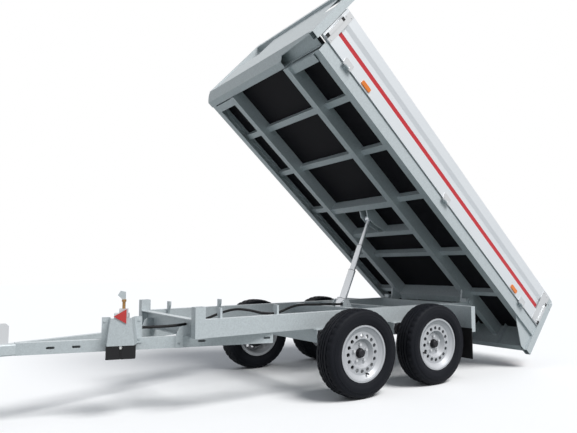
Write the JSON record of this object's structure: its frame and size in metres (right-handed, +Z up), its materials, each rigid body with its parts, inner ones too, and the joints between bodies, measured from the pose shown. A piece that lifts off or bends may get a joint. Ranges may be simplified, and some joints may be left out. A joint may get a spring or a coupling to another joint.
{
  "type": "tipper trailer",
  "caption": "Tandem-axle rear tipper trailer with drop sides, raised bed, telescopic lifting cylinder, V drawbar with ball coupling and jockey wheel",
  "frame": {"origin": "on the ground under the middle of the trailer as it stands with its bed raised", "axes": "+X to the drawbar and coupling, +Y to the trailer's left, +Z up"},
  "size_m": [4.8547, 1.696, 2.9922],
  "materials": {
    "galvanised": "galvanised, soft sheen",
    "dark_cast": "dark coated",
    "zinc": "zinc plated",
    "rubber": "matt black",
    "tyre": "matt black",
    "black_plastic": "moulded black",
    "brass": "plain",
    "red_lens": "reflector",
    "amber_lens": "reflector",
    "chrome": "ground and plated",
    "plywood": "dark film-faced",
    "aluminium": "anodised",
    "silver_paint": "silver"
  },
  "bodies": {
    "chassis": {"axle_arms": "dark_cast", "axle_beams": "galvanised", "bed_posts": "galvanised", "chassis_crossmembers": "galvanised", "chassis_rails": "galvanised", "coupling_bellows": "rubber", "coupling_handle": "black_plastic", "coupling_head": "zinc", "cylinder_cradle": "galvanised", "drawbar_arms": "galvanised", "handbrake_lever": "zinc", "hydraulic_hose": "rubber", "jockey_tube": "zinc", "mud_flaps": "rubber", "mud_plates": "galvanised", "overrun_housing": "dark_cast", "pump_block": "zinc", "pump_guard": "galvanised", "pump_tank": "black_plastic", "pump_valve": "brass", "warning_triangle": "red_lens"},
    "bed": {"bed_beams": "galvanised", "bed_crossmembers": "galvanised", "bed_side_rails": "galvanised", "bed_front_beam": "galvanised", "bed_apron": "galvanised", "bed_floor": "plywood", "bed_hinge_lugs": "galvanised", "cylinder_bracket": "galvanised", "front_board": "galvanised", "front_pillars": "galvanised", "rear_pillars": "galvanised", "rear_lamps": "red_lens"},
    "cylinder_barrel": {"cylinder_barrel": "dark_cast"},
    "cylinder_stage_a": {"cylinder_stage_a": "chrome"},
    "cylinder_stage_b": {"cylinder_stage_b": "chrome"},
    "cylinder_rod": {"cylinder_rod": "chrome"},
    "side_left": {"side_board_left": "aluminium", "side_fittings_left": "zinc", "side_markers_left": "amber_lens"},
    "side_right": {"side_board_right": "aluminium", "side_fittings_right": "zinc", "side_markers_right": "amber_lens"},
    "tailgate": {"tailgate": "aluminium"},
    "jockey_leg": {"jockey_leg": "zinc"},
    "jockey_fork": {"jockey_fork": "zinc"},
    "jockey_wheel": {"jockey_wheel": "rubber"},
    "wheel_front_left": {"tyre_front_left": "tyre", "rim_front_left": "silver_paint", "hub_front_left": "dark_cast"},
    "wheel_front_right": {"tyre_front_right": "tyre", "rim_front_right": "silver_paint", "hub_front_right": "dark_cast"},
    "wheel_rear_left": {"tyre_rear_left": "tyre", "rim_rear_left": "silver_paint", "hub_rear_left": "dark_cast"},
    "wheel_rear_right": {"tyre_rear_right": "tyre", "rim_rear_right": "silver_paint", "hub_rear_right": "dark_cast"}
  },
  "joints": [
    {"name": "bed_tip", "type": "hinge", "parent": "chassis", "child": "bed", "pos_m": [-1.6427, 0, 0.567], "axis": [0, 1, 0], "range_deg": [0, 41.74]},
    {"name": "cylinder_tilt", "type": "hinge", "parent": "chassis", "child": "cylinder_barrel", "pos_m": [-0.6307, 0, 0.575], "axis": [0, 1, 0], "range_deg": [0, 21]},
    {"name": "cylinder_stage_a_slide", "type": "slide", "parent": "cylinder_barrel", "child": "cylinder_stage_a", "axis": [-0.4019, 0, 0.9157], "range_m": [-0.2536, 0]},
    {"name": "cylinder_stage_b_slide", "type": "slide", "parent": "cylinder_stage_a", "child": "cylinder_stage_b", "axis": [-0.4019, 0, 0.9157], "range_m": [-0.2278, 0]},
    {"name": "cylinder_rod_slide", "type": "slide", "parent": "cylinder_stage_b", "child": "cylinder_rod", "axis": [-0.4019, 0, 0.9157], "range_m": [-0.2288, 0]},
    {"name": "side_left_drop", "type": "hinge", "parent": "bed", "child": "side_left", "pos_m": [-2.1803, 0.84, 0.32988], "axis": [-0.7462, 0, -0.6658], "range_deg": [0, 170]},
    {"name": "side_right_drop", "type": "hinge", "parent": "bed", "child": "side_right", "pos_m": [-2.1803, -0.84, 0.32988], "axis": [0.7462, 0, 0.6658], "range_deg": [0, 170]},
    {"name": "tailgate_swing", "type": "hinge", "parent": "bed", "child": "tailgate", "pos_m": [-2.40434, 0, 0.53741], "axis": [0, 1, 0], "range_deg": [0, 95]},
    {"name": "wheel_front_left_spin", "type": "hinge", "parent": "chassis", "child": "wheel_front_left", "pos_m": [-0.2127, 0.7225, 0.298], "axis": [0, 1, 0], "continuous": true},
    {"name": "wheel_front_right_spin", "type": "hinge", "parent": "chassis", "child": "wheel_front_right", "pos_m": [-0.2127, -0.7225, 0.298], "axis": [0, 1, 0], "continuous": true},
    {"name": "wheel_rear_left_spin", "type": "hinge", "parent": "chassis", "child": "wheel_rear_left", "pos_m": [-0.9327, 0.7225, 0.298], "axis": [0, 1, 0], "continuous": true},
    {"name": "wheel_rear_right_spin", "type": "hinge", "parent": "chassis", "child": "wheel_rear_right", "pos_m": [-0.9327, -0.7225, 0.298], "axis": [0, 1, 0], "continuous": true},
    {"name": "jockey_leg_slide", "type": "slide", "parent": "chassis", "child": "jockey_leg", "axis": [0, 0, 1], "range_m": [0, 0.14]},
    {"name": "jockey_swivel", "type": "hinge", "parent": "jockey_leg", "child": "jockey_fork", "pos_m": [1.9773, -0.104, 0.3], "axis": [0, 0, 1], "continuous": true},
    {"name": "jockey_wheel_spin", "type": "hinge", "parent": "jockey_fork", "child": "jockey_wheel", "pos_m": [1.9433, -0.104, 0.1], "axis": [0, 1, 0], "continuous": true}
  ],
  "couplings": [
    {"joint": "cylinder_tilt", "follows": "bed_tip", "ratio": 0.502},
    {"joint": "cylinder_stage_a_slide", "follows": "bed_tip", "m_per_rad": -0.34782},
    {"joint": "cylinder_stage_b_slide", "follows": "bed_tip", "m_per_rad": -0.31241},
    {"joint": "cylinder_rod_slide", "follows": "bed_tip", "m_per_rad": -0.31378}
  ]
}
